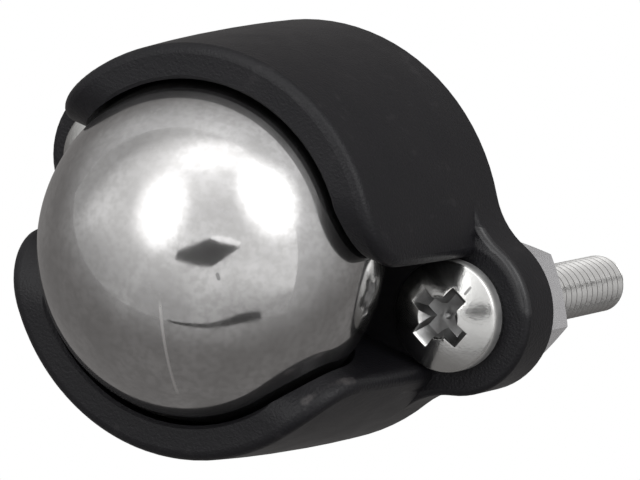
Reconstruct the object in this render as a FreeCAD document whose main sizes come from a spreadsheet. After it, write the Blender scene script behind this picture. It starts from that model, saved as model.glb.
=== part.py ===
# Ball castor: a half-inch steel ball snapped into a moulded plastic housing.
#
# The housing has two ears for the screws and two curved wings that reach past the
# ball's equator. Three short steel rollers lie in trapped pockets behind the ball and
# carry it. Two pan-head screws go up through the ears and a nut holds each one.
#
# Frame: millimetres. The origin is the centre of the mounting face, halfway between the
# two screws. +Z points up, into the chassis. X runs along the line of the two screws.

import FreeCAD, Part
import math
import os
import Sketcher
from FreeCAD import Placement, Rotation, Vector

os.makedirs("parts", exist_ok=True)
doc = FreeCAD.newDocument("ball_castor")

# Sizes that drive the part
SIZES = {
    "ball_radius": 6.35,
    "ball_gap": 0.20,
    "seat_cover": 1.35,
    "rim_reach": 1.95,
    "rim_wall": 1.307,
    "wing_wall": 1.30,
    "base_wall": 1.38,
    "ear_thickness": 2.10,
    "ear_radius": 3.05,
    "screw_inset": 0.43,
    "ear_blend": 3.00,
    "screw_clearance": 0.13,
    "head_gap": 0.08,
    "notch_corner": 2.30,
    "rim_round": 0.38,
    "lead_in": 0.12,
    "ear_round": 0.25,
    "roller_radius": 0.80,
    "roller_length": 3.00,
    "roller_gap": 0.02,
    "pocket_gap": 0.05,
    "pocket_end_gap": 0.15,
    "roller_chamfer": 0.12,
    "roller_tilt_angle": 45.0,
    "centre_roller_angle": 90.0,
    "left_roller_angle": -125.0,
    "right_roller_angle": -55.0,
    "screw_length": 12.70,
    "screw_radius": 1.092,
    "thread_mean_radius": 0.937,
    "head_radius": 2.08,
    "head_side": 0.75,
    "head_height": 1.45,
    "tip_chamfer": 0.25,
    "recess_width": 0.66,
    "recess_span": 2.62,
    "recess_depth": 0.95,
    "recess_core": 0.72,
    "nut_flats": 4.76,
    "nut_thickness": 2.45,
    "nut_bore_gap": 0.02,
    "nut_chamfer": 0.42,
    "nut_turn_angle": -5.0,
    "recess_turn_angle": 23.0,
}

# Sizes that follow from the driving ones
DERIVED = {
    "ball_drop": "=ball_radius + seat_cover",
    "cavity_radius": "=ball_radius + ball_gap",
    "rim_drop": "=ball_drop + rim_reach",
    "rim_radius": "=sqrt(cavity_radius ^ 2 - rim_reach ^ 2) + rim_wall",
    "wing_radius": "=cavity_radius + wing_wall",
    "base_radius": "=cavity_radius + base_wall",
    "screw_x": "=base_radius - screw_inset",
    "notch_half": "=head_radius + head_gap",
    "screw_hole_radius": "=screw_radius + screw_clearance",
    "roller_reach": "=ball_radius + roller_radius + roller_gap",
    "roller_ring": "=roller_reach * sin(roller_tilt_angle * 1 deg)",
    "roller_drop": "=ball_drop - roller_reach * cos(roller_tilt_angle * 1 deg)",
    "pocket_radius": "=roller_radius + pocket_gap",
    "pocket_length": "=roller_length + 2 * pocket_end_gap",
    "nut_corner_radius": "=nut_flats / sqrt(3)",
    "nut_bore_radius": "=thread_mean_radius + nut_bore_gap",
    "dome_rise": "=head_height - head_side",
    "dome_radius": "=(head_radius ^ 2 + dome_rise ^ 2) / (2 * dome_rise)",
}

# Each roller and the size that says where it stands around the ball, in degrees from +X
ROLLERS = {
    "roller_centre": "centre_roller_angle",
    "roller_left": "left_roller_angle",
    "roller_right": "right_roller_angle",
}


def fill_sheet():
    sheet = doc.addObject("Spreadsheet::Sheet", "Sizes")
    sheet.Label = "Sizes"
    lines = list(SIZES.items()) + list(DERIVED.items())
    for row, (word, value) in enumerate(lines, start=1):
        sheet.set("A%d" % row, word)
        sheet.set("B%d" % row, str(value))
        sheet.setAlias("B%d" % row, word)
    doc.recompute()
    return sheet


sheet = fill_sheet()


def size(word):
    return float(getattr(sheet, word))


def formula_of(text):
    """Spell out a short formula in which $word stands for a sheet word."""
    return text.replace("$", "<<Sizes>>.")


def value(text):
    return float(sheet.evalExpression(formula_of(text)))


def bind(thing, path, text):
    thing.setExpression(path, formula_of(text))


def plane_of(body, role):
    for feature in body.Origin.OriginFeatures:
        if feature.Role == role:
            return feature
    raise ValueError(role)


def new_body(label):
    body = doc.addObject("PartDesign::Body", label + "_body")
    body.Label = label + "_body"
    return body


def new_sketch(body, name, role, turn=0.0, lift=None):
    """A sketch on one of the body's own planes, turned about Z or lifted off it."""
    sketch = body.newObject("Sketcher::SketchObject", name)
    sketch.AttachmentSupport = (plane_of(body, role), [""])
    sketch.MapMode = "FlatFace"
    if turn:
        sketch.AttachmentOffset = Placement(Vector(0, 0, 0), Rotation(Vector(0, 1, 0), turn))
    if lift:
        bind(sketch, "AttachmentOffset.Base.z", lift)
    return sketch


def flat(x, y):
    return Vector(x, y, 0)


def dimension(sketch, kind, name, geometry, end, text):
    """Distance of one point from the sketch origin, tied to the sheet."""
    rule = Sketcher.Constraint(kind, -1, 1, geometry, end, value(text))
    index = sketch.addConstraint(rule)
    sketch.renameConstraint(index, name)
    bind(sketch, "Constraints." + name, text)


def pin(sketch, name, geometry, end, x, y):
    """Hold one point of the sketch at (x, y), each a formula of sheet words."""
    if x == "0":
        sketch.addConstraint(Sketcher.Constraint("PointOnObject", geometry, end, -2))
    else:
        dimension(sketch, "DistanceX", name + "_across", geometry, end, x)
    if y == "0":
        sketch.addConstraint(Sketcher.Constraint("PointOnObject", geometry, end, -1))
    else:
        dimension(sketch, "DistanceY", name + "_up", geometry, end, y)


def outline(sketch, corners, arcs=None):
    """Closed outline through named corners.

    corners lists (name, x, y). arcs maps the number of a side to a third point, also
    (name, x, y), that the arc drawn in place of that straight side goes through.
    """
    arcs = arcs or {}
    count = len(corners)
    spots = [flat(value(x), value(y)) for _, x, y in corners]
    ends = []
    for i in range(count):
        here = spots[i]
        there = spots[(i + 1) % count]
        if i not in arcs:
            sketch.addGeometry(Part.LineSegment(here, there), False)
            ends.append((1, 2))
            continue
        _, x, y = arcs[i]
        via = flat(value(x), value(y))
        # sketch arcs always run anticlockwise, so a clockwise one is drawn from its far end
        anticlockwise = (via - here).cross(there - via).z > 0
        curve = Part.Arc(here, via, there) if anticlockwise else Part.Arc(there, via, here)
        sketch.addGeometry(curve, False)
        ends.append((1, 2) if anticlockwise else (2, 1))
    for i in range(count):
        k = (i + 1) % count
        rule = Sketcher.Constraint("Coincident", i, ends[i][1], k, ends[k][0])
        sketch.addConstraint(rule)
    for i, (name, x, y) in enumerate(corners):
        pin(sketch, name, i, ends[i][0], x, y)
    for i, (name, x, y) in arcs.items():
        mark = sketch.addGeometry(Part.Point(flat(value(x), value(y))), True)
        sketch.addConstraint(Sketcher.Constraint("PointOnObject", mark, 1, i))
        pin(sketch, name, mark, 1, x, y)


def circle(sketch, name, x, y, radius):
    """A dimensioned circle with its centre at (x, y)."""
    ring = Part.Circle(flat(value(x), value(y)), Vector(0, 0, 1), value(radius))
    geometry = sketch.addGeometry(ring, False)
    pin(sketch, name, geometry, 3, x, y)
    index = sketch.addConstraint(Sketcher.Constraint("Radius", geometry, value(radius)))
    sketch.renameConstraint(index, name + "_radius")
    bind(sketch, "Constraints." + name + "_radius", radius)


def revolve(body, kind, name, sketch):
    """Full turn about the body's Z axis, added or taken away."""
    feature = body.newObject(kind, name)
    feature.Profile = sketch
    feature.ReferenceAxis = (sketch, ["V_Axis"])
    feature.Angle = 360.0
    sketch.Visibility = False
    doc.recompute()
    return feature


def check_cut(body, before, name):
    after = body.Shape.Volume
    if before - after < 1e-4:
        raise ValueError("cut removed nothing: " + name)
    return after


# Housing: base and wings as one turned barrel
housing = new_body("housing")
barrel = new_sketch(housing, "barrel_profile", "XZ_Plane")
outline(
    barrel,
    [
        ("crown", "0", "0"),
        ("base_edge", "$base_radius", "0"),
        ("rim_edge", "$rim_radius", "-$rim_drop"),
        ("rim_centre", "0", "-$rim_drop"),
    ],
    {1: ("wing_side", "$wing_radius", "-$rim_drop / 2")},
)
revolve(housing, "PartDesign::Revolution", "barrel", barrel)

# Ears for the two screws
ears = new_sketch(housing, "ear_outline", "XY_Plane")
circle(ears, "near_ear", "$screw_x", "0", "$ear_radius")
circle(ears, "far_ear", "-$screw_x", "0", "$ear_radius")
ear_pad = housing.newObject("PartDesign::Pad", "ears")
ear_pad.Profile = ears
ear_pad.Reversed = True
bind(ear_pad, "Length", "$ear_thickness")
doc.recompute()


def edges_where(shape, test):
    return ["Edge%d" % (i + 1) for i, edge in enumerate(shape.Edges) if test(edge)]


def ear_corner(edge):
    """Upright edge where an ear meets the side of the barrel."""
    box = edge.BoundBox
    tall = abs(box.ZLength - size("ear_thickness")) < 1e-3
    upright = max(box.XLength, box.YLength) < box.ZLength / 4
    return tall and upright and abs(edge.CenterOfMass.y) > size("ear_radius") / 2


blend = housing.newObject("PartDesign::Fillet", "ear_blend")
blend.Base = (ear_pad, edges_where(ear_pad.Shape, ear_corner))
bind(blend, "Radius", "$ear_blend")
doc.recompute()

# Cavity: a sphere a little larger than the ball, closed at the back, with a small bevel at
# the rim that leads the ball in. The rim is narrower than the ball, so the ball snaps in.
cavity = new_sketch(housing, "cavity_profile", "XZ_Plane")
lip_r = "sqrt($cavity_radius ^ 2 - ($rim_drop - $lead_in - $ball_drop) ^ 2)"
outline(
    cavity,
    [
        ("roof", "0", "-$ball_drop + $cavity_radius"),
        ("lip", lip_r, "-($rim_drop - $lead_in)"),
        ("lead_in_edge", lip_r + " + 2 * $lead_in", "-($rim_drop + $lead_in)"),
        ("front", "0", "-($rim_drop + $lead_in)"),
    ],
    {0: ("cavity_side", "$cavity_radius", "-$ball_drop")},
)
volume = housing.Shape.Volume
revolve(housing, "PartDesign::Groove", "cavity", cavity)
volume = check_cut(housing, volume, "cavity")


def pocket(body, name, sketch, length):
    """Cut the sketch out by half its length to each side of its plane."""
    before = body.Shape.Volume
    feature = body.newObject("PartDesign::Pocket", name)
    feature.Profile = sketch
    feature.SideType = "Symmetric"
    bind(feature, "Length", length)
    sketch.Visibility = False
    doc.recompute()
    check_cut(body, before, name)
    return feature


# Notches: the wings stop short of the ears so that a driver reaches the screws
notch = new_sketch(housing, "notch_profile", "YZ_Plane")
notch_edge = "($notch_half + $notch_corner)"
turn_in = "($notch_half + $notch_corner * (1 - sqrt(0.5)))"
turn_down = "-($rim_drop - $notch_corner * (1 - sqrt(0.5)))"
outline(
    notch,
    [
        ("floor_near", "$notch_half", "-$ear_thickness"),
        ("wall_near", "$notch_half", "-($rim_drop - $notch_corner)"),
        ("mouth_near", notch_edge, "-$rim_drop"),
        ("front_near", notch_edge, "-($rim_drop + $notch_corner)"),
        ("front_far", "-" + notch_edge, "-($rim_drop + $notch_corner)"),
        ("mouth_far", "-" + notch_edge, "-$rim_drop"),
        ("wall_far", "-$notch_half", "-($rim_drop - $notch_corner)"),
        ("floor_far", "-$notch_half", "-$ear_thickness"),
    ],
    {
        1: ("turn_near", turn_in, turn_down),
        5: ("turn_far", "-" + turn_in, turn_down),
    },
)
pocket(housing, "notches", notch, "4 * $base_radius")

# Screw holes through the ears
holes = new_sketch(housing, "screw_hole_profile", "XY_Plane")
circle(holes, "near_hole", "$screw_x", "0", "$screw_hole_radius")
circle(holes, "far_hole", "-$screw_x", "0", "$screw_hole_radius")
pocket(housing, "screw_holes", holes, "4 * $ear_thickness")

# Roller pockets: round trenches whose mouths are narrower than the rollers
for label, word in ROLLERS.items():
    trench = new_sketch(housing, label + "_pocket_profile", "YZ_Plane", turn=size(word) - 90.0)
    circle(trench, "trench", "$roller_ring", "-$roller_drop", "$pocket_radius")
    pocket(housing, label + "_pocket", trench, "$pocket_length")



def on_rim(edge, radius_low, radius_high):
    """Edge on the wings' outline, between two distances from the Z axis."""
    middle = edge.valueAt((edge.FirstParameter + edge.LastParameter) / 2)
    reach = math.hypot(middle.x, middle.y)
    return radius_low < reach < radius_high and middle.z < -size("ear_thickness") - 0.05


def outer_rim(edge):
    reaches = [size("rim_radius"), size("wing_radius"), size("base_radius")]
    return on_rim(edge, min(reaches) - size("rim_wall") / 4, max(reaches) + size("rim_wall") / 4)


def ear_front(edge):
    """Outline of an ear on its lower side, outside the wings and not round the screw hole."""
    middle = edge.valueAt((edge.FirstParameter + edge.LastParameter) / 2)
    level = abs(middle.z + size("ear_thickness")) < 1e-4
    flat_edge = edge.BoundBox.ZLength < 1e-4
    outside = math.hypot(middle.x, middle.y) > size("base_radius") + size("ear_round")
    from_screw = math.hypot(abs(middle.x) - size("screw_x"), middle.y)
    return level and flat_edge and outside and from_screw > size("head_radius")


def round_over(body, name, test, radius):
    """Fillet every edge of the body that passes the test."""
    base = body.Tip
    names = edges_where(base.Shape, test)
    if not names:
        raise ValueError("no edges for " + name)
    feature = body.newObject("PartDesign::Fillet", name)
    feature.Base = (base, names)
    bind(feature, "Radius", radius)
    doc.recompute()
    return feature


round_over(housing, "rim_round", outer_rim, "$rim_round")
round_over(housing, "ear_round", ear_front, "$ear_round")

# Ball
ball = doc.addObject("Part::Sphere", "ball")
ball.Label = "ball"
bind(ball, "Radius", "$ball_radius")
bind(ball, "Placement.Base.z", "-$ball_drop")

# Rollers: short dowel pins with bevelled ends, each lying across the ball
rollers = {}
for label, word in ROLLERS.items():
    body = new_body(label)
    profile = new_sketch(body, label + "_profile", "XZ_Plane")
    outline(
        profile,
        [
            ("foot", "0", "-$roller_length / 2"),
            ("foot_flat", "$roller_radius - $roller_chamfer", "-$roller_length / 2"),
            ("foot_side", "$roller_radius", "-$roller_length / 2 + $roller_chamfer"),
            ("head_side", "$roller_radius", "$roller_length / 2 - $roller_chamfer"),
            ("head_flat", "$roller_radius - $roller_chamfer", "$roller_length / 2"),
            ("head", "0", "$roller_length / 2"),
        ],
    )
    revolve(body, "PartDesign::Revolution", label + "_pin", profile)
    lay = Rotation(Vector(0, 0, 1), size(word)) * Rotation(Vector(1, 0, 0), 90)
    body.Placement = Placement(Vector(0, 0, 0), lay)
    bind(body, "Placement.Base.x", "$roller_ring * cos($%s * 1 deg)" % word)
    bind(body, "Placement.Base.y", "$roller_ring * sin($%s * 1 deg)" % word)
    bind(body, "Placement.Base.z", "-$roller_drop")
    rollers[label] = body

# Pan-head screw, drawn about its own axis with the ear's lower face at its seat. The free
# stretch has the thread's outer radius. The plain shank in the ear and the stretch in the nut
# have its mean radius, where the two threads share the space between their crests.
screw = new_body("screw")
turned = new_sketch(screw, "screw_profile", "XZ_Plane")
seat = "-$ear_thickness"
crown = "(-$ear_thickness - $head_height)"
side = "(-$ear_thickness - $head_side)"
tip = "($screw_length - $ear_thickness)"
dome_fall = "$dome_radius - sqrt($dome_radius ^ 2 - $head_radius ^ 2 / 4)"
outline(
    turned,
    [
        ("crown", "0", crown),
        ("head_rim", "$head_radius", side),
        ("head_seat", "$head_radius", seat),
        ("shank_root", "$thread_mean_radius", seat),
        ("nut_stretch_end", "$thread_mean_radius", "$nut_thickness"),
        ("free_stretch_foot", "$screw_radius", "$nut_thickness"),
        ("free_stretch_end", "$screw_radius", tip + " - $tip_chamfer"),
        ("tip_edge", "$screw_radius - $tip_chamfer", tip),
        ("tip_centre", "0", tip),
    ],
    {0: ("dome", "$head_radius / 2", crown + " + " + dome_fall)},
)
revolve(screw, "PartDesign::Revolution", "screw_blank", turned)

# Cross recess: a tapered cross, then a cone at its centre
cross = new_sketch(screw, "recess_cross", "XY_Plane", lift=crown)
arm = "$recess_span / 2"
half = "$recess_width / 2"
outline(
    cross,
    [
        ("a", arm, "-" + half),
        ("b", arm, half),
        ("c", half, half),
        ("d", half, arm),
        ("e", "-" + half, arm),
        ("f", "-" + half, half),
        ("g", "-" + arm, half),
        ("i", "-" + arm, "-" + half),
        ("j", "-" + half, "-" + half),
        ("k", "-" + half, "-" + arm),
        ("l", half, "-" + arm),
        ("n", half, "-" + half),
    ],
)
before = screw.Shape.Volume
driver = screw.newObject("PartDesign::Pocket", "recess")
driver.Profile = cross
driver.Reversed = True
driver.TaperAngle = -14.0
bind(driver, "Length", "$recess_depth")
doc.recompute()
check_cut(screw, before, "recess")
core = new_sketch(screw, "recess_core_profile", "XZ_Plane")
outline(
    core,
    [
        ("core_top", "0", crown),
        ("core_edge", "$recess_core", crown),
        ("core_foot", "0", crown + " + $recess_depth * 1.2"),
    ],
)
before = screw.Shape.Volume
revolve(screw, "PartDesign::Groove", "recess_core", core)
check_cut(screw, before, "recess core")
screw.Placement = Placement(Vector(0, 0, 0), Rotation(Vector(0, 0, 1), size("recess_turn_angle")))
bind(screw, "Placement.Base.x", "$screw_x")

# Hexagon nut, resting on the mounting face
nut = new_body("nut")
hexagon = new_sketch(nut, "nut_outline", "XY_Plane")
outline(
    hexagon,
    [
        ("corner_%s" % "abcdef"[k], "$nut_corner_radius * cos(%d deg)" % (60 * k),
         "$nut_corner_radius * sin(%d deg)" % (60 * k) if k % 3 else "0")
        for k in range(6)
    ],
)
prism = nut.newObject("PartDesign::Pad", "nut_prism")
prism.Profile = hexagon
bind(prism, "Length", "$nut_thickness")
doc.recompute()
bore = new_sketch(nut, "nut_bore_profile", "XY_Plane")
circle(bore, "bore", "0", "0", "$nut_bore_radius")
pocket(nut, "nut_bore", bore, "4 * $nut_thickness")
for name, level, inward in (("lower", "0", "+"), ("upper", "$nut_thickness", "-")):
    bevel = new_sketch(nut, name + "_bevel_profile", "XZ_Plane")
    outer = "$nut_corner_radius + 2 * $nut_chamfer"
    inner = "$nut_corner_radius - 1.732 * $nut_chamfer"
    drop = "(2 + 1.732) * $nut_chamfer / 1.732"
    outline(
        bevel,
        [
            ("inside", inner, level),
            ("outside", outer, level),
            ("foot", outer, level + " " + inward + " " + drop),
        ],
    )
    before = nut.Shape.Volume
    revolve(nut, "PartDesign::Groove", name + "_bevel", bevel)
    check_cut(nut, before, name + " bevel")
nut.Placement = Placement(Vector(0, 0, 0), Rotation(Vector(0, 0, 1), size("nut_turn_angle")))
bind(nut, "Placement.Base.x", "$screw_x")


def pair(label, single):
    """The piece and its mirror image across the middle of the castor, as one node."""
    other = doc.addObject("Part::Mirroring", label + "_far")
    other.Source = single
    other.Normal = Vector(1, 0, 0)
    other.Base = Vector(0, 0, 0)
    both = doc.addObject("Part::Compound", label)
    both.Links = [single, other]
    both.Label = label
    return both


screws = pair("mounting_screws", screw)
nuts = pair("hex_nuts", nut)
doc.recompute()

# Node names and the objects that carry their finished shapes
NODES = {"housing": housing, "ball": ball, "mounting_screws": screws, "hex_nuts": nuts}
NODES.update(rollers)

for item in doc.Objects:
    if "Invalid" in item.State or "Error" in item.State:
        raise ValueError("%s is %s" % (item.Name, item.State))

for label, item in NODES.items():
    item.Label = label
    shape = item.Shape
    if shape.isNull() or not shape.isValid() or not shape.Solids:
        raise ValueError("bad shape: " + label)
    shape.exportStep("parts/%s.step" % label)
    box = shape.BoundBox
    print(
        "%-16s solids %d volume %8.2f  z %6.2f to %6.2f"
        % (label, len(shape.Solids), shape.Volume, box.ZMin, box.ZMax)
    )
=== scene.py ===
# %% [markdown]
# # Dressing a ball castor
#
# The castor is a polished steel ball in a black moulded housing, held to a plate by two small
# screws. Its solids are already made to size, so this lesson adds what a solid model leaves out:
# the screw threads, the driver recesses, the finishes and the light.
#
# The solids could be drawn again here, but then they would drift from the real sizes. They are
# loaded as a fixed frame instead, and every new piece takes its place from them.

# %% Load the solids
import math

import bmesh
import bpy
from mathutils import Matrix, Vector


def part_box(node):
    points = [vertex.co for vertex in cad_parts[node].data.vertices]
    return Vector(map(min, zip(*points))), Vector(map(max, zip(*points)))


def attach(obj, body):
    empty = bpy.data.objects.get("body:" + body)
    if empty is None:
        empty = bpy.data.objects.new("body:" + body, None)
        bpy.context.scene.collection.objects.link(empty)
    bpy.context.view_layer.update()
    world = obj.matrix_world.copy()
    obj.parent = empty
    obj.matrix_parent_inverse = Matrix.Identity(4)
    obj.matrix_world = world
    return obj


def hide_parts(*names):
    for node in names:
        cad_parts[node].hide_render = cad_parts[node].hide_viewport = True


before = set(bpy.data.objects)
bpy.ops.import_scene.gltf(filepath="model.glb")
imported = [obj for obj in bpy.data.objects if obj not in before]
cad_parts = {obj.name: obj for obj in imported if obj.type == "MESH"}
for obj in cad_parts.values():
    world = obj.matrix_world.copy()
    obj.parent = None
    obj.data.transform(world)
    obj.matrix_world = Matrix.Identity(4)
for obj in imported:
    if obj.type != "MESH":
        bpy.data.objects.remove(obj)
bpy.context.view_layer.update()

print("nodes", sorted(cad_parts))

# %% [markdown]
# ## Lengths
#
# Everything here is in metres, but small hardware is easier to think of in millimetres. One
# constant turns one into the other. The places of the ball and the screws are measured on the
# loaded solids, so only what a box can't tell, such as the head's upright side, is typed again.

# %% Lengths and places
MM = 0.001
ball_low, ball_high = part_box("ball")
ball_centre = (ball_low + ball_high) / 2
BALL_RADIUS = (ball_high - ball_low).z / 2
screw_low, screw_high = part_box("mounting_screws")
HEAD_RADIUS = 2.08 * MM
HEAD_SIDE = 0.75 * MM
SCREW_X = screw_high.x - HEAD_RADIUS
SEAT_LEVEL = -2.10 * MM
HEAD_RISE = SEAT_LEVEL - HEAD_SIDE - screw_low.z
DOME_RADIUS = (HEAD_RADIUS ** 2 + HEAD_RISE ** 2) / (2 * HEAD_RISE)
DOME_CENTRE = Vector((SCREW_X, 0, screw_low.z + DOME_RADIUS))
print("ball radius mm", round(BALL_RADIUS / MM, 3), "screws at x mm", round(SCREW_X / MM, 3))
print("dome radius mm", round(DOME_RADIUS / MM, 3))

# %% [markdown]
# ## Shader maths in plain Python
#
# A finish is a small network of nodes. It could be wired by hand, node by node, but a formula
# such as `1 - mask` is easier to read than three calls. So one small class stands for a socket
# and turns Python's operators into Math nodes.

# %% Sockets that can be added and multiplied


class Wire:
    """An output socket of a finish, for use in formulas."""

    def __init__(self, finish, socket):
        self.finish = finish
        self.socket = socket

    def maths(self, operation, *values):
        inputs = dict(enumerate(values))
        return self.finish.node("ShaderNodeMath", {"operation": operation}, inputs)

    def __add__(self, other):
        return self.maths("ADD", self, other)

    __radd__ = __add__

    def __sub__(self, other):
        return self.maths("SUBTRACT", self, other)

    def __rsub__(self, other):
        return self.maths("SUBTRACT", other, self)

    def __mul__(self, other):
        return self.maths("MULTIPLY", self, other)

    __rmul__ = __mul__

    def __lt__(self, other):
        return self.maths("LESS_THAN", self, other)

    def __gt__(self, other):
        return self.maths("GREATER_THAN", self, other)

    def size(self):
        """The value without its sign."""
        return self.maths("ABSOLUTE", self)

    def larger(self, other):
        return self.maths("MAXIMUM", self, other)

    def ramp(self, start, end):
        """0 below start, 1 above end, smooth between. It also runs backwards."""
        settings = {"interpolation_type": "SMOOTHSTEP"}
        if start > end:
            return 1 - self.ramp(end, start)
        return self.finish.node("ShaderNodeMapRange", settings, {0: self, 1: start, 2: end})


print("formulas are made by", Wire.__name__)

# %% [markdown]
# ## One class for every finish
#
# A second class holds a material and adds its nodes. One method adds any kind of node, and short
# methods on top of it make what the finishes share: noise, a blend of two colours, bump, round
# spots, and streaks for wear and for a painted glint. Ready node groups would do this too, but
# they can't be read as text.

# %% A material and its nodes


class Finish:
    """A material and the one method that adds a node to it."""

    def __init__(self, name, owner=None):
        self.material = owner or bpy.data.materials.new(name)
        self.material.use_nodes = True
        self.tree = self.material.node_tree
        self.tree.nodes.clear()
        self.name = name

    def node(self, kind, settings=None, inputs=None, output=0):
        node = self.tree.nodes.new(kind)
        for key, value in (settings or {}).items():
            setattr(node, key, value)
        for key, value in (inputs or {}).items():
            if isinstance(value, Wire):
                self.tree.links.new(value.socket, node.inputs[key])
            else:
                node.inputs[key].default_value = value
        return Wire(self, node.outputs[output])

    def place(self):
        """The point on the piece, in metres."""
        return self.node("ShaderNodeTexCoord", output=3)

    def noise(self, size_mm, detail=2.0, stretch=(1, 1, 1)):
        """Cloudy 0 to 1 noise whose grains are about size_mm across."""
        mapped = self.node("ShaderNodeMapping", None, {0: self.place(), 3: stretch})
        inputs = {"Vector": mapped, "Scale": 1000 / size_mm, "Detail": detail}
        return self.node("ShaderNodeTexNoise", None, inputs)

    def blend(self, mask, dark, light):
        """A colour between two, by a mask."""
        settings = {"data_type": "RGBA"}
        return self.node("ShaderNodeMix", settings, {0: mask, 6: dark, 7: light}, output=2)

    def bump(self, height, depth_mm, normal=None):
        inputs = {"Height": height, "Distance": depth_mm * MM}
        if normal:
            inputs["Normal"] = normal
        return self.node("ShaderNodeBump", None, inputs)

    def vector(self, operation, first, second=None, output=0):
        """A Vector Math node. Output 1 holds the number of a distance, length or dot product."""
        inputs = {0: first} if second is None else {0: first, 1: second}
        return self.node("ShaderNodeVectorMath", {"operation": operation}, inputs, output)

    def along(self, vector, direction):
        """How far a vector reaches in a direction."""
        return self.vector("DOT_PRODUCT", vector, direction, output=1)

    def apart(self, first, second):
        """The distance between two points."""
        return self.vector("DISTANCE", first, second, output=1)

    def spot(self, centre, width_mm):
        """1 inside a small round spot on the piece, 0 outside."""
        return self.apart(self.place(), centre).ramp(width_mm / 2 * MM, width_mm / 4 * MM)

    def streak(self, start, end, width_mm, steps=10):
        """1 along a soft streak between two points in millimetres, 0 outside."""
        # a streak serves wear marks, and on the housing a painted glint
        wear_and_glint = self.spot(Vector(start) * MM, width_mm)
        for step in range(1, steps + 1):
            dot = self.spot(Vector(start).lerp(Vector(end), step / steps) * MM, width_mm)
            wear_and_glint = wear_and_glint.larger(dot)
        return wear_and_glint

    def shader(self, inputs):
        return self.node("ShaderNodeBsdfPrincipled", None, inputs)

    def close(self, shader, kind="ShaderNodeOutputMaterial"):
        """Join a shader to the output, which ends the finish."""
        out = self.tree.nodes.new(kind)
        self.tree.links.new(shader.socket, out.inputs[0])
        print("finish", self.name)
        return self.material

    def surface(self, inputs):
        """One shader with these inputs."""
        return self.close(self.shader(inputs))

    def surface_of_two(self, first, second, share):
        """Two shaders laid over each other, the second with a constant share."""
        layers = {0: share, 1: self.shader(first), 2: self.shader(second)}
        return self.close(self.node("ShaderNodeMixShader", None, layers))


print("finishes are made by", Finish.__name__)

# %% [markdown]
# ## Turned shapes
#
# The screw's head and its shank are turned shapes. They could be built face by face, but a lathe
# does it better: a few corners joined by edges are spun a full turn about the Z axis, and the seam
# and the poles are merged.

# %% A small lathe
LATHE_STEPS = 96


def chain(mesh, corners):
    """Corners of (radius, height) in millimetres, joined by edges in the XZ plane."""
    points = [mesh.verts.new((radius * MM, 0, height * MM)) for radius, height in corners]
    edges = [mesh.edges.new(pair) for pair in zip(points, points[1:])]
    return points, edges


def lathe(mesh):
    """Spin all the joined corners a full turn about Z and close the seam."""
    outline = list(mesh.verts) + list(mesh.edges)
    axis = {"cent": (0, 0, 0), "axis": (0, 0, 1), "dvec": (0, 0, 0)}
    turn = {"angle": math.tau, "steps": LATHE_STEPS, "use_merge": True}
    bmesh.ops.spin(mesh, geom=outline, **axis, **turn)
    bmesh.ops.remove_doubles(mesh, verts=mesh.verts, dist=1e-7)
    bmesh.ops.recalc_face_normals(mesh, faces=mesh.faces)


def piece(name, mesh, finish, sharp_angle=40):
    """Turn a bmesh into an object with a finish, smooth except at sharp corners."""
    data = bpy.data.meshes.new(name)
    mesh.to_mesh(data)
    mesh.free()
    data.shade_smooth()
    data.set_sharp_from_angle(angle=math.radians(sharp_angle))
    data.materials.append(finish)
    made = bpy.data.objects.new(name, data)
    bpy.context.scene.collection.objects.link(made)
    print(name, "faces", len(data.polygons))
    return made


print("a turned shape has", LATHE_STEPS, "steps round")

# %% [markdown]
# ## The finishes
#
# There are five finishes: black plastic, polished ball steel, two kinds of plating and ground
# steel. Flat colours would be quicker, but real finishes vary a little everywhere, so each one
# gets noise in its colour, its roughness and its bump.
#
# ### Black plastic
#
# The housing is moulded in black plastic with a fine grain. The edge of each ear is rubbed round
# and shiny, and the lower wing has a lighter streak: scuff marks with a painted glint. A clear
# coat on the ears' edges alone gives the shine. A picture of the streak could be laid on instead,
# but a mask worked out from the place on the piece needs no picture and stays sharp at any size.

# %% Black moulded plastic
EDGE_START = 2.55 * MM
EDGE_FULL = 3.05 * MM
EDGE_END = 3.40 * MM
# ends of the lighter streak on the lower wing, in millimetres: scuff marks with a painted glint
SCUFF_AND_GLINT_START = (6.2, 3.25, -9.2)
SCUFF_AND_GLINT_END = (6.98, 2.17, -7.75)


def ear_edge(made):
    """1 where the edge of each ear is rubbed round and shiny, on the side of the ball."""
    folded = made.vector("ABSOLUTE", made.place())
    reach = made.apart(made.vector("MULTIPLY", folded, (1, 1, 0)), (SCREW_X, 0, 0))
    ring = reach.ramp(EDGE_START, EDGE_FULL) * (reach < EDGE_END)
    level = made.along(made.place(), (0, 0, 1))
    front = (level < SEAT_LEVEL + 0.3 * MM) * (level > SEAT_LEVEL - 0.1 * MM)
    # X times Y in square millimetres, far below zero on one side of each ear only
    side = made.along(made.place(), (1 / MM, 0, 0)) * made.along(made.place(), (0, 1 / MM, 0))
    return ring * front * side.ramp(-10.0, -17.0)


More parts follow.
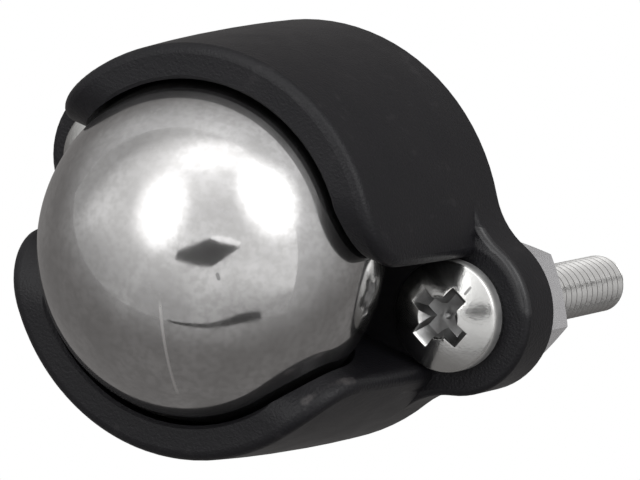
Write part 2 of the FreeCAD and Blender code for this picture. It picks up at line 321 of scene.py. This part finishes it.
def black_plastic():
    made = Finish("black_moulded_plastic")
    edge = ear_edge(made)
    scuff_and_glint = made.streak(SCUFF_AND_GLINT_START, SCUFF_AND_GLINT_END, 0.50)
    scuff_and_glint_marks = scuff_and_glint * made.noise(0.30, detail=4.0).ramp(0.05, 0.75)
    cloud = made.noise(3.0)
    grain = made.noise(0.10, detail=4.0)
    wear = made.noise(0.9, detail=5.0).ramp(0.62, 0.74)
    colour = made.blend(cloud, (0.0045, 0.0045, 0.006, 1), (0.009, 0.0085, 0.010, 1))
    colour = made.blend(wear * 0.3, colour, (0.030, 0.028, 0.030, 1))
    # lighter colour along the lower wing's streak: scuff marks with a painted glint
    colour = made.blend(scuff_and_glint_marks * 0.6, colour, (0.075, 0.070, 0.070, 1))
    normal = made.bump(1 - edge, 0.20, made.bump(grain, 0.025))
    inputs = {"Base Color": colour, "Normal": normal, "Specular IOR Level": 0.22}
    inputs["Roughness"] = 0.32 + 0.12 * made.noise(1.1)
    inputs["Coat Weight"] = edge.ramp(0.02, 0.3) * 0.6
    inputs["Coat Roughness"] = 0.2
    return made.surface(inputs)


HOUSING_FINISH = black_plastic()

# %% [markdown]
# ### Polished steel
#
# The ball is ground and polished until it is a mirror, but handling leaves a haze, fine specks,
# one long scratch and a small pit. One shader can't be sharp and hazy at once, so two are mixed: a
# mirror, and a softer glow that stands for the light that the fine scratches spread.

# %% Polished steel for the ball
SCRATCH_START = (0.256, 0.104, -0.961)
SCRATCH_END = (0.392, 0.685, -0.614)
SCRATCH_WIDTH = 0.013
PIT_ENDS = [(0.500, -0.132, -0.856), (0.513, -0.112, -0.851)]
GLOW_SHARE = 0.19


def scratch(made, start, end, width):
    """1 along a straight scratch between two directions from the ball's centre.

    The width is a share of the ball's radius."""
    start, end = Vector(start), Vector(end)
    from_centre = made.vector("SUBTRACT", made.place(), ball_centre)
    across = start.cross(end).normalized()
    along_it = across.cross(start + end).normalized()
    half = abs(along_it.dot(end)) * BALL_RADIUS
    off = made.along(from_centre, across).size()
    reach = made.along(from_centre, along_it).size()
    near_side = made.along(from_centre, (start + end).normalized()) > 0
    thin = off.ramp(width * BALL_RADIUS, width * BALL_RADIUS * 0.3)
    return thin * reach.ramp(half, half * 0.8) * near_side


def polished_steel():
    made = Finish("polished_ball_steel")
    haze = made.noise(2.2, detail=4.0)
    line = scratch(made, SCRATCH_START, SCRATCH_END, SCRATCH_WIDTH)
    pit_start, pit_end = [(ball_centre + Vector(way) * BALL_RADIUS) / MM for way in PIT_ENDS]
    pit = made.streak(pit_start, pit_end, 0.17)
    specks = made.noise(0.28, detail=5.0).ramp(0.38, 0.66)
    smear = made.noise(1.6, detail=6.0, stretch=(1, 0.35, 1)).ramp(0.38, 0.68)
    colour = made.blend(haze.ramp(0.30, 0.70), (0.46, 0.455, 0.455, 1), (0.58, 0.575, 0.575, 1))
    colour = made.blend(specks * 0.50, colour, (0.40, 0.395, 0.39, 1))
    colour = made.blend(smear * 0.34, colour, (0.38, 0.375, 0.37, 1))
    colour = made.blend(line * 0.4, colour, (0.95, 0.94, 0.93, 1))
    colour = made.blend(pit * 0.6, colour, (0.12, 0.12, 0.12, 1))
    normal = made.bump(made.noise(0.05), 0.0004)
    mirror_rough = 0.02 + 0.04 * haze + 0.05 * specks + 0.05 * smear + 0.3 * line
    glow_rough = 0.24 + 0.10 * haze
    mirror = {"Base Color": colour, "Roughness": mirror_rough, "Normal": normal, "Metallic": 1.0}
    glow = {"Base Color": colour, "Roughness": glow_rough, "Metallic": 1.0}
    return made.surface_of_two(mirror, glow, GLOW_SHARE)


BALL_FINISH = polished_steel()

# %% [markdown]
# ### Plating and ground steel
#
# The nuts have bright plating that has gone a little dull and cloudy, and the rollers are plain
# ground steel. Both are grey metal with a fine uneven skin, so one function makes both, with
# other greys and another roughness. Two separate materials would repeat every line.

# %% Plating for the nuts, ground steel for the rollers


def plated_steel(name, dark, light, roughness, metal):
    made = Finish(name)
    cloud = made.noise(0.7, detail=4.0)
    colour = made.blend(cloud, dark, light)
    rough = roughness + 0.12 * made.noise(0.25)
    normal = made.bump(made.noise(0.22, detail=3.0), 0.002)
    inputs = {"Base Color": colour, "Roughness": rough, "Normal": normal, "Metallic": metal}
    return made.surface(inputs)


NUT_GREYS = (0.72, 0.72, 0.74, 1), (0.86, 0.86, 0.88, 1)
ROLLER_GREYS = (0.45, 0.45, 0.45, 1), (0.52, 0.52, 0.52, 1)
NUT_FINISH = plated_steel("dull_nut_plating", *NUT_GREYS, 0.20, 0.75)
ROLLER_FINISH = plated_steel("ground_roller_steel", *ROLLER_GREYS, 0.22, 1.0)

# %% [markdown]
# ### Plating on the screws
#
# The screws have the same kind of plating, but the recess is rougher and has painted shade, and
# one nick shows on the dome. The threads are duller too. All these places are found from their
# distance to the dome's centre or to the screw's axis, so they follow the shape exactly. Painting
# each face would need the faces to be known by number.

# %% Plating on the screws
NICK_START = (8.166, -1.219, -3.255)
NICK_END = (8.232, -1.480, -3.150)


def screw_plating():
    """Bright plating, rougher and darkened with painted shade inside the driver recess, with one
    nick on the dome.
    """
    made = Finish("bright_screw_plating")
    folded = made.vector("MULTIPLY", made.vector("ABSOLUTE", made.place()), (1, 1, -1))
    level = made.along(made.place(), (0, 0, 1))
    in_head = level < SEAT_LEVEL - 0.2 * MM
    away = made.apart(folded, DOME_CENTRE)
    inside = away.ramp(DOME_RADIUS - 0.03 * MM, DOME_RADIUS - 0.22 * MM) * in_head
    from_axis = made.apart(made.vector("MULTIPLY", folded, (1, 1, 0)), (SCREW_X, 0, 0))
    side_wall = (from_axis > HEAD_RADIUS - 0.03 * MM) * in_head
    on_thread = level > 0
    nick = made.streak(NICK_START, NICK_END, 0.17)
    cloud = made.noise(0.7, detail=4.0)
    recess_shade_noise = made.noise(0.5, detail=3.0)
    colour = made.blend(cloud, (0.47, 0.47, 0.46, 1), (0.64, 0.64, 0.63, 1))
    # painted shade: a darker, cloudy grey inside the driver recess, where shade falls
    painted_recess_shade = made.blend(recess_shade_noise, (0.18, 0.18, 0.18, 1), (0.44, 0.44, 0.44, 1))
    colour = made.blend(inside, colour, painted_recess_shade)
    colour = made.blend(nick * 0.8, colour, (0.06, 0.06, 0.06, 1))
    colour = made.blend(on_thread * 0.70, colour, (0.34, 0.335, 0.33, 1))
    rough = 0.15 + 0.12 * made.noise(0.25) + 0.14 * inside + 0.35 * side_wall
    normal = made.bump(made.noise(0.12, detail=4.0), 0.006)
    inputs = {"Base Color": colour, "Roughness": rough, "Normal": normal, "Metallic": 1.0}
    return made.surface(inputs)


SCREW_FINISH = screw_plating()

# %% [markdown]
# ## The ball
#
# The loaded ball is made of flat facets, which a mirror would show at once. A finer sphere of
# the same radius stands for it. A subdivided cube would have more even faces, but a sphere of
# rings keeps its poles on the Z axis, where they are hidden by the housing and the floor.

# %% Finer ball
ball_mesh = bmesh.new()
bmesh.ops.create_uvsphere(ball_mesh, u_segments=192, v_segments=96, radius=BALL_RADIUS)
bmesh.ops.translate(ball_mesh, verts=ball_mesh.verts, vec=ball_centre)
steel_ball = piece("steel_ball", ball_mesh, BALL_FINISH, sharp_angle=180)
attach(steel_ball, "ball")
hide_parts("ball")

# %% [markdown]
# ## The screws
#
# Each is a small pan-head screw. Its head is a low dome with a short upright side, and a cross
# recess is cut into the dome. The shank is plain where it passes through the ear, and threaded
# from the nut to its tip. The solid has a smooth cylinder there, so this piece takes its place.

# %% Sizes of the screw, in millimetres
SEAT = SEAT_LEVEL / MM
CROWN = screw_low.z / MM
TIP = screw_high.z / MM
HEAD_R = HEAD_RADIUS / MM
PITCH = 0.4536
CREST = 1.092
ROOT = 0.815
SHANK = 0.937
print("screw from", round(CROWN, 3), "to", round(TIP, 3))

# %% [markdown]
# ### The head
#
# The dome is an arc, made by spinning one point about the centre of the dome. The rim and the
# edge under the head get a small rounding before the outline is turned, because a vertex bevel
# on an outline is cleaner than an edge bevel on the finished head.

# %% Head
DOME_STEPS = 14
RIM_ROUNDING = 0.09
STUB_TOP = 0.2


def screw_head():
    mesh = bmesh.new()
    radius = DOME_RADIUS / MM
    crown = mesh.verts.new((0, 0, CROWN * MM))
    turn = math.asin(HEAD_R / radius)
    centre = (0, 0, (CROWN + radius) * MM)
    arc = {"cent": centre, "axis": (0, -1, 0), "angle": turn, "steps": DOME_STEPS}
    bmesh.ops.spin(mesh, geom=[crown], **arc)
    rim = max(mesh.verts, key=lambda vert: vert.co.x)
    stub = [(HEAD_R, SEAT), (SHANK, SEAT), (SHANK, STUB_TOP), (0, STUB_TOP)]
    points, _ = chain(mesh, stub)
    mesh.edges.new((rim, points[0]))
    shape = {"offset": RIM_ROUNDING * MM, "segments": 4, "profile": 0.5, "material": -1}
    bmesh.ops.bevel(mesh, geom=[rim, points[0]], affect="VERTICES", **shape)
    lathe(mesh)
    return mesh


print("head", 2 * HEAD_R, "mm across and", round(SEAT - CROWN, 3), "mm high")

# %% [markdown]
# ### The cross recess
#
# A punch forms the recess in one blow. Here two tapered bars and a cone are taken out of the
# head with Boolean modifiers, which keeps the walls flat and the corners crisp. Insets and
# extrusions could do it on a flat face, but the dome isn't flat.

# %% Cutters for the recess, in millimetres
RECESS_WIDTH = 0.74
RECESS_SPAN = 2.62
RECESS_DEPTH = 0.95
CORE_RADIUS = 0.88
CORE_DEPTH = RECESS_DEPTH * 1.2
END_SLOPE = 0.50
WALL_SLOPE = 0.05
OVERLAP = 0.3


def bar(turn):
    """One tapered bar of the cross, wide side out, turned about the screw's axis."""
    mesh = bmesh.new()
    bmesh.ops.create_cube(mesh, size=1)
    for vert in mesh.verts:
        deep = vert.co.z > 0
        part = 1 if deep else -OVERLAP / RECESS_DEPTH
        long = (RECESS_SPAN / 2 - END_SLOPE * part) * math.copysign(1, vert.co.x)
        wide = (RECESS_WIDTH / 2 - WALL_SLOPE * part) * math.copysign(1, vert.co.y)
        level = CROWN + (RECESS_DEPTH if deep else -OVERLAP)
        vert.co = Vector((long, wide, level)) * MM
    about_axis = Matrix.Rotation(turn, 3, "Z")
    bmesh.ops.rotate(mesh, verts=mesh.verts, cent=(0, 0, 0), matrix=about_axis)
    return mesh


def cone():
    """The round middle of the cross, a little deeper than the bars."""
    mesh = bmesh.new()
    depth = CORE_DEPTH + OVERLAP
    wide = CORE_RADIUS * depth / CORE_DEPTH
    shape = {"radius1": wide * MM, "radius2": 0, "depth": depth * MM}
    place = Matrix.Translation((0, 0, (CROWN - OVERLAP + depth / 2) * MM))
    bmesh.ops.create_cone(mesh, cap_ends=True, segments=32, matrix=place, **shape)
    return mesh


def baked(made):
    """Apply an object's modifiers to its mesh, and leave none."""
    graph = bpy.context.evaluated_depsgraph_get()
    data = bpy.data.meshes.new_from_object(made.evaluated_get(graph))
    old = made.data
    made.modifiers.clear()
    made.data = data
    bpy.data.meshes.remove(old)


def carve(made, cutter_mesh):
    """Take one shape out of another."""
    cutter = piece("cutter", cutter_mesh, SCREW_FINISH)
    cut = made.modifiers.new("cut", "BOOLEAN")
    cut.operation = "DIFFERENCE"
    cut.solver = "EXACT"
    cut.object = cutter
    bpy.context.view_layer.update()
    baked(made)
    bpy.data.objects.remove(cutter)


print("recess", RECESS_SPAN, "mm across and", RECESS_DEPTH, "mm deep")

# %% [markdown]
# ### The thread
#
# A thread is one tooth carried round the shank along a helix. The spin operator does exactly
# that when it is also given a shift along its axis: each turn lands on the one before, and
# merging the doubles joins them into one closed skin. The two ends are cut flat and filled. A
# picture of rings on a smooth rod would be lighter, but its outline would stay straight.

# %% Threaded rod
THREAD_STEPS = 40
TIP_ROUNDING = 0.32
# One tooth: its radius, and its height as a share of the pitch
TOOTH = [(ROOT, 0), (ROOT, 0.06), (CREST, 0.44), (CREST, 0.56), (ROOT, 0.94), (ROOT, 1)]


def round_tip(mesh, high):
    """Pull the last turns in to a quarter circle, as the tip of a rolled thread is."""
    for vert in mesh.verts:
        past = (vert.co.z / MM - (high - TIP_ROUNDING)) / TIP_ROUNDING
        if past > 0:
            limit = CREST - TIP_ROUNDING * (1 - math.sqrt(max(0, 1 - past * past)))
            reach = math.hypot(vert.co.x, vert.co.y) / MM
            shrink = min(1, limit / reach)
            vert.co.x *= shrink
            vert.co.y *= shrink


def threaded_rod(low, high):
    """A closed rod with a thread, between two heights in millimetres."""
    mesh = bmesh.new()
    turns = math.ceil((high - low) / PITCH) + 2
    start = low - PITCH
    corners = [(radius, start + share * PITCH) for radius, share in TOOTH]
    points, edges = chain(mesh, corners)
    rise = (0, 0, PITCH * MM / THREAD_STEPS)
    axis = {"cent": (0, 0, 0), "axis": (0, 0, 1), "dvec": rise}
    turn = {"angle": math.tau * turns, "steps": THREAD_STEPS * turns}
    bmesh.ops.spin(mesh, geom=points + edges, **axis, **turn)
    bmesh.ops.remove_doubles(mesh, verts=mesh.verts, dist=1e-7)
    for level, side in ((low, -1), (high, 1)):
        cut = {"plane_co": (0, 0, level * MM), "plane_no": (0, 0, side), "clear_outer": True}
        bmesh.ops.bisect_plane(mesh, geom=mesh.verts[:] + mesh.edges[:] + mesh.faces[:], **cut)
    round_tip(mesh, high)
    rims = [edge for edge in mesh.edges if edge.is_boundary]
    bmesh.ops.holes_fill(mesh, edges=rims)
    bmesh.ops.recalc_face_normals(mesh, faces=mesh.faces)
    print("thread turns", turns, "open edges", sum(edge.is_boundary for edge in mesh.edges))
    return mesh


print("thread pitch", PITCH, "mm, width over the crests", 2 * CREST, "mm")

# %% [markdown]
# ### Both screws
#
# The head and the rod overlap inside the ear, where nobody sees it, so they stay two closed
# shells in one piece. The near screw's cross is turned as it was left by the driver, and the far
# one is turned the other way. One function with a side of 1 or -1 makes both. A fine bevel
# softens every sharp edge, because plating fills and rounds the corners.

# %% Two screws
CROSS_TURN = math.radians(23.0)
PLATED_ROUNDING = 0.03 * MM
PLATED_ANGLE = math.radians(35)
SHARP_ANGLE = math.radians(30)


def joined(mesh, other):
    """Put one bmesh into another."""
    data = bpy.data.meshes.new("joined")
    other.to_mesh(data)
    other.free()
    mesh.from_mesh(data)
    bpy.data.meshes.remove(data)


def make_screw(name, side):
    made = piece(name, screw_head(), SCREW_FINISH)
    for quarter in (0, 1):
        carve(made, bar(math.pi / 2 * quarter))
    carve(made, cone())
    soften = made.modifiers.new("soften", "BEVEL")
    soften.width = PLATED_ROUNDING
    soften.segments = 2
    soften.limit_method = "ANGLE"
    soften.angle_limit = PLATED_ANGLE
    bpy.context.view_layer.update()
    baked(made)
    whole = bmesh.new()
    whole.from_mesh(made.data)
    joined(whole, threaded_rod(0.0, TIP))
    turn = Matrix.Rotation(CROSS_TURN * side, 3, "Z")
    bmesh.ops.rotate(whole, verts=whole.verts, cent=(0, 0, 0), matrix=turn)
    bmesh.ops.translate(whole, verts=whole.verts, vec=(SCREW_X * side, 0, 0))
    whole.to_mesh(made.data)
    whole.free()
    made.data.shade_smooth()
    made.data.set_sharp_from_angle(angle=SHARP_ANGLE)
    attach(made, "body")
    print(name, "faces", len(made.data.polygons))
    return made


near_screw = make_screw("near_screw", 1)
far_screw = make_screw("far_screw", -1)
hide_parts("mounting_screws")
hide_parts("mounting_screws")

# %% [markdown]
# ## Finishes on the loaded pieces
#
# The housing, the nuts and the rollers already have their true shapes, so they only need a
# finish in place of the plain colour that they came with.

# %% Give the loaded pieces their finishes
LOADED = {
    "housing": HOUSING_FINISH,
    "hex_nuts": NUT_FINISH,
    "roller_centre": ROLLER_FINISH,
    "roller_left": ROLLER_FINISH,
    "roller_right": ROLLER_FINISH,
}
for node, finish in LOADED.items():
    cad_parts[node].data.materials.clear()
    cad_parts[node].data.materials.append(finish)
print("finished as loaded", sorted(LOADED))

# %% [markdown]
# ## The studio
#
# A mirror shows the room, so the room matters more than the lamps. The castor hangs ball down
# over a pale table, inside a large tent of cloth. The cloth is pale towards -Y and darker above
# and towards +Y. The camera doesn't see the tent, only plain white, but the ball does. A flat
# grey all round would be simpler, but then the ball would look like a flat grey disc.

# %% Tent
bpy.context.scene.view_settings.view_transform = "Standard"
backdrop = bpy.data.worlds.new("white_backdrop")
bpy.context.scene.world = backdrop
sheet = Finish("white_backdrop", owner=backdrop)
white = sheet.node("ShaderNodeBackground", None, {0: (1, 1, 1, 1), 1: 1.0})
sheet.close(white, "ShaderNodeOutputWorld")

TENT_RADIUS = 15.0
DARK_SIDE = (-0.1, 0.8, 0.6)
ROOF_SIDE = (-0.25, 0, 0.968)


def tent_cloth():
    """Cloth that glows by itself, pale to one side and dark to the other and above."""
    made = Finish("tent_cloth")
    way = made.vector("NORMALIZE", made.place())
    side = made.along(way, DARK_SIDE).ramp(-0.6, 0.46)
    roof = made.along(way, ROOF_SIDE).ramp(0.15, 0.72)
    cloth = made.blend(roof.larger(side), (0.92, 0.92, 0.92, 1), (0.24, 0.232, 0.228, 1))
    return made.close(made.node("ShaderNodeEmission", None, {0: cloth, 1: 1.0}))


tent_mesh = bmesh.new()
bmesh.ops.create_uvsphere(tent_mesh, u_segments=48, v_segments=24, radius=TENT_RADIUS)
tent = piece("tent", tent_mesh, tent_cloth(), sharp_angle=180)
tent.visible_camera = False

# %% [markdown]
# ### The table
#
# The table is one flat pale sheet that ends behind the castor. Its far edge shows in the ball as
# the line between the bright and the dark half, with a dark strip of shadow along it. The sheet
# also glows by itself, less towards its far edge and to the left, as pale cloth does under lamps
# outside the picture. Real light alone would need many more lamps.

# %% Table and the dark strip along its edge
FLOOR_Z = -0.6
SHADOW_Z = FLOOR_Z + 0.002


def grey_of(level):
    return (level, level, level, 1)


def card(name, corners, grey, glow=0.0, far_glow=None):
    """A flat stage sheet of one grey, whose glow may fade towards +Y and -X."""
    mesh = bmesh.new()
    points = [mesh.verts.new(corner) for corner in corners]
    bmesh.ops.contextual_create(mesh, geom=points)
    paint = Finish(name + "_paint")
    shade = paint.blend(paint.noise(150.0), grey_of(grey * 0.97), grey_of(grey))
    light = grey_of(glow)
    if far_glow:
        behind = paint.along(paint.place(), (0, 1, 0)).ramp(-0.18, 0.42)
        left = paint.along(paint.place(), (-1, 0, 0)).ramp(0.4, 2.2)
        light = paint.blend(behind.larger(left), light, grey_of(far_glow))
    inputs = {"Base Color": shade, "Roughness": 0.9}
    inputs["Emission Color"] = light
    inputs["Emission Strength"] = 1.0
    made = piece(name, mesh, paint.surface(inputs))
    return made


FLOOR_CORNERS = [(-12, -12), (12, -12), (12, 3.2), (2.8, 0.96), (1.5, 0.655)]
FLOOR_CORNERS += [(1.0, 0.57), (0.5, 0.53), (0.12, 0.512), (-12, 0.51)]
SHADOW_CORNERS = [(1.9, 0.73), (1.6, 0.50), (1.2, 0.43), (0.9, 0.42), (0.75, 0.46)]
SHADOW_CORNERS += [(0.5, 0.51), (0.12, 0.502), (0.12, 0.525), (0.3, 0.55), (0.5, 0.58)]
SHADOW_CORNERS += [(0.8, 0.60), (1.1, 0.625), (1.5, 0.70), (1.9, 0.78)]
table_corners = [(x, y, FLOOR_Z) for x, y in FLOOR_CORNERS]
card("floor", table_corners, 0.70, glow=0.95, far_glow=0.34)
card("table_edge", [(x, y, SHADOW_Z) for x, y in SHADOW_CORNERS], 0.03)

# %% [markdown]
# ## The camera
#
# The camera looks up at the castor from below, so the ball is in front. Its place and turn were
# worked out once from the outlines of the ball, the rim and the screws. Its lens is long, so the
# shapes are hardly distorted.

# %% Camera
RIGHT = Vector((0.82788925, -0.30499511, 0.47072005))
UP = Vector((-0.38674225, -0.91824059, 0.08523295))
BACK = Vector((0.40623862, -0.25261078, -0.87815601))
CAMERA_PLACE = Vector((0.091242, -0.056250, -0.196237))
lens = bpy.data.cameras.new("camera")
lens.sensor_width = 36
lens.lens = 335.60
lens.clip_start = 0.01
lens.clip_end = 20
camera = bpy.data.objects.new("camera", lens)
bpy.context.scene.collection.objects.link(camera)
camera_turn = Matrix((RIGHT, UP, BACK)).transposed()
camera.matrix_world = Matrix.Translation(CAMERA_PLACE) @ camera_turn.to_4x4()
bpy.context.scene.camera = camera
print("camera at", [round(value, 4) for value in camera.matrix_world.translation])

# %% [markdown]
# ### What the ball sees of the camera
#
# The camera shows in the ball as a small dark diamond with a light line over it. A dark card and
# a thin pale card that glows, of those shapes, stand behind the camera. They are hidden from it
# and cast no shadow. A model of a camera would do the same, but at this size nobody could tell.

# %% Two cards round the camera
CARD_AWAY = 0.30
LINE_AWAY = 0.302
CARD_DROP = 0.012
CARD_CORNERS = [(-0.125, -0.028), (-0.037, -0.050), (0.008, -0.051), (0.107, 0.017)]
CARD_CORNERS += [(0.035, 0.032), (-0.001, 0.046), (-0.114, 0.002)]
LINE_CORNERS = [(-0.037, 0.031), (-0.019, 0.042), (-0.003, 0.052), (0.013, 0.054)]
LINE_CORNERS += [(0.044, 0.053), (0.076, 0.048), (0.112, 0.032), (0.098, 0.019)]
LINE_CORNERS += [(0.035, 0.025), (0.000, 0.034)]


def camera_card(name, away, corners, grey, glow=0.0):
    """A sheet behind the camera that only the ball and the other bright pieces see."""
    middle_of_card = ball_centre + BACK * away - UP * CARD_DROP
    places = [middle_of_card + RIGHT * x + UP * y for x, y in corners]
    made = card(name, places, grey, glow)
    made.visible_camera = False
    made.visible_diffuse = False
    made.visible_shadow = False


camera_card("camera_card", CARD_AWAY, CARD_CORNERS, 0.03)
# this pale card glows by itself, which puts the light line above the diamond in the ball
camera_card("camera_light_line", LINE_AWAY, LINE_CORNERS, 0.70, glow=1.5)

# %% [markdown]
# ## The lamps
#
# Two strong soft boxes, a broad dim one and a flat one shine from below and from -Y. Each is an
# oval that is bright in the middle and fades to its edge, like a lamp behind cloth. A plain area
# lamp has a hard edge, which would show in the ball, so the fade is made in the lamp's own nodes.

# %% Lamps
LAMP_AWAY = 0.40


def lamp(name, direction, wide, high, level):
    """A soft oval lamp with its size in degrees as the ball sees it."""
    data = bpy.data.lights.new(name, "AREA")
    data.shape = "RECTANGLE"
    data.size = 2 * LAMP_AWAY * math.tan(math.radians(wide / 2))
    data.size_y = 2 * LAMP_AWAY * math.tan(math.radians(high / 2))
    data.energy = level * math.pi * data.size * data.size_y
    data.use_nodes = True
    cloth = Finish(name, owner=data)
    across = cloth.node("ShaderNodeNewGeometry", output=5)
    centring = {0: across, 1: (-1, -1, 0), 3: (2, 2, 0)}
    centred = cloth.node("ShaderNodeMapping", None, centring)
    spread = cloth.vector("LENGTH", centred, output=1)
    glow = cloth.node("ShaderNodeEmission", None, {1: spread.ramp(1.0, 0.25)})
    cloth.close(glow, "ShaderNodeOutputLight")
    made = bpy.data.objects.new(name, data)
    bpy.context.scene.collection.objects.link(made)
    back = Vector(direction).normalized()
    right = UP.cross(back).normalized()
    up = back.cross(right)
    turn = Matrix((right, up, back)).transposed()
    made.matrix_world = Matrix.Translation(ball_centre + back * LAMP_AWAY) @ turn.to_4x4()
    print(name, "energy", round(data.energy, 3))


lamp("left_lamp", (-0.280, -0.400, -0.870), 44, 62, 1.9)
lamp("right_lamp", (0.550, -0.805, -0.215), 50, 62, 2.3)
lamp("top_lamp", (-0.260, -0.860, -0.420), 90, 76, 0.42)
lamp("band_lamp", (-0.140, -0.935, -0.320), 66, 30, 0.75)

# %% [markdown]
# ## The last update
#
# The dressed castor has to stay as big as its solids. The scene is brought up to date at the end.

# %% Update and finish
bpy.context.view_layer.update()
